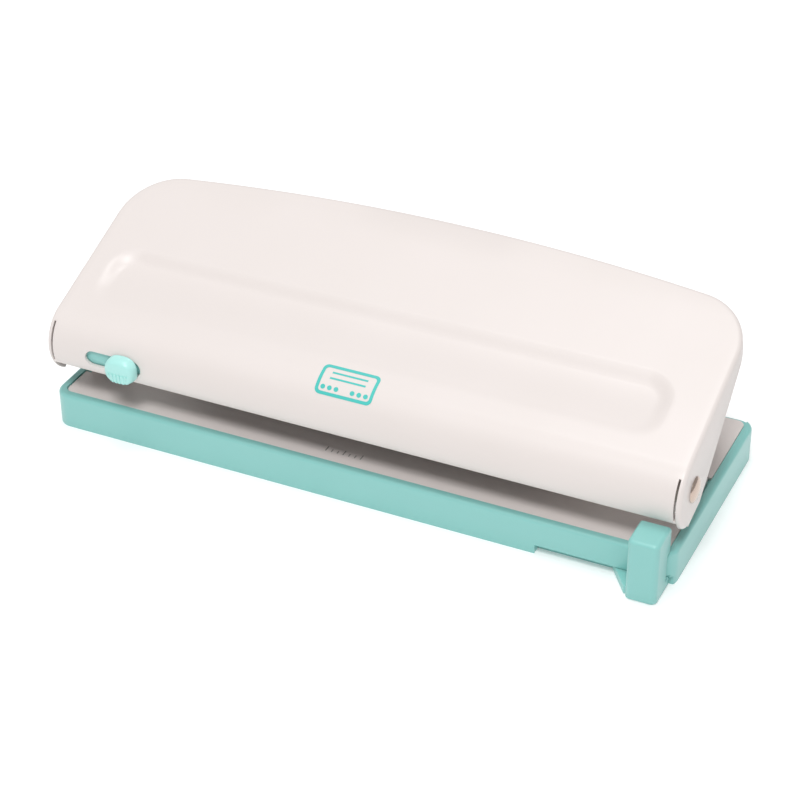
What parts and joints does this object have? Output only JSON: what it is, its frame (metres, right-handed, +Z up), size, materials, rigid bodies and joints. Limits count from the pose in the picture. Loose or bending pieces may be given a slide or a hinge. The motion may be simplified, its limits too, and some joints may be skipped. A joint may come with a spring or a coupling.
{
  "type": "lever planner punch",
  "caption": "Wide desktop paper punch: hinged sheet-steel lever over a base plate, spring-returned punch pins, slide lock, chip tray and sliding paper guide.",
  "frame": {"origin": "on the resting plane, under the middle of the chip tray's footprint", "axes": "+X along the punch to the right as seen from the paper side, +Y to the rear away from the paper side, +Z up"},
  "size_m": [0.2706, 0.11, 0.0789],
  "materials": {
    "cream_paint": "satin powder coat",
    "mint_plastic": "smooth moulded, semi-gloss",
    "zinc_steel": "zinc plated sheet",
    "bright_metal": "bright nickel plate",
    "tool_steel": "ground",
    "spring_steel": "drawn wire",
    "rubber": "matt",
    "nylon": "natural nylon"
  },
  "bodies": {
    "tray": {"chip_tray": "mint_plastic", "rubber_feet": "rubber"},
    "base": {"base_plate": "cream_paint", "pivot_rivet_left": "bright_metal", "pivot_rivet_right": "bright_metal", "pivot_washers": "nylon", "paper_stop": "zinc_steel", "punch_rail": "zinc_steel", "rail_rivets": "bright_metal", "stop_pads": "rubber", "lock_catch": "zinc_steel", "punch_spring_1": "spring_steel", "punch_spring_2": "spring_steel", "punch_spring_3": "spring_steel", "punch_spring_4": "spring_steel", "punch_spring_5": "spring_steel", "punch_spring_6": "spring_steel"},
    "handle": {"handle_shell": "cream_paint", "press_bracket": "zinc_steel", "press_rod": "bright_metal"},
    "lock": {"lock_knob": "mint_plastic", "lock_plate": "mint_plastic", "lock_screw": "bright_metal"},
    "guide": {"paper_guide": "mint_plastic"},
    "punch_1": {"punch_pin_1": "tool_steel", "pin_clip_1": "spring_steel"},
    "punch_2": {"punch_pin_2": "tool_steel", "pin_clip_2": "spring_steel"},
    "punch_3": {"punch_pin_3": "tool_steel", "pin_clip_3": "spring_steel"},
    "punch_4": {"punch_pin_4": "tool_steel", "pin_clip_4": "spring_steel"},
    "punch_5": {"punch_pin_5": "tool_steel", "pin_clip_5": "spring_steel"},
    "punch_6": {"punch_pin_6": "tool_steel", "pin_clip_6": "spring_steel"}
  },
  "joints": [
    {"name": "tray_release", "type": "slide", "parent": "tray", "child": "base", "axis": [0, 0, 1], "range_m": [0, 0.025]},
    {"name": "handle_press", "type": "hinge", "parent": "base", "child": "handle", "pos_m": [0, -0.0333, 0.0354], "axis": [-1, 0, 0], "range_deg": [0, 20], "stiffness_Nm_per_rad": 1.5, "springref_deg": -20.05},
    {"name": "lock_slide", "type": "slide", "parent": "handle", "child": "lock", "axis": [-1, 0, 0], "range_m": [0, 0.011]},
    {"name": "guide_slide", "type": "slide", "parent": "tray", "child": "guide", "axis": [-1, 0, 0], "range_m": [0, 0.029]},
    {"name": "punch_1_stroke", "type": "slide", "parent": "base", "child": "punch_1", "axis": [0, 0, -1], "range_m": [0, 0.0065], "deforming": ["punch_spring_1"]},
    {"name": "punch_2_stroke", "type": "slide", "parent": "base", "child": "punch_2", "axis": [0, 0, -1], "range_m": [0, 0.0065], "deforming": ["punch_spring_2"]},
    {"name": "punch_3_stroke", "type": "slide", "parent": "base", "child": "punch_3", "axis": [0, 0, -1], "range_m": [0, 0.0065], "deforming": ["punch_spring_3"]},
    {"name": "punch_4_stroke", "type": "slide", "parent": "base", "child": "punch_4", "axis": [0, 0, -1], "range_m": [0, 0.0065], "deforming": ["punch_spring_4"]},
    {"name": "punch_5_stroke", "type": "slide", "parent": "base", "child": "punch_5", "axis": [0, 0, -1], "range_m": [0, 0.0065], "deforming": ["punch_spring_5"]},
    {"name": "punch_6_stroke", "type": "slide", "parent": "base", "child": "punch_6", "axis": [0, 0, -1], "range_m": [0, 0.0065], "deforming": ["punch_spring_6"]}
  ],
  "couplings": [
    {"joint": "punch_1_stroke", "follows": "handle_press", "m_per_rad": 0.018212},
    {"joint": "punch_2_stroke", "follows": "handle_press", "m_per_rad": 0.018212},
    {"joint": "punch_3_stroke", "follows": "handle_press", "m_per_rad": 0.018212},
    {"joint": "punch_4_stroke", "follows": "handle_press", "m_per_rad": 0.018212},
    {"joint": "punch_5_stroke", "follows": "handle_press", "m_per_rad": 0.018212},
    {"joint": "punch_6_stroke", "follows": "handle_press", "m_per_rad": 0.018212}
  ]
}
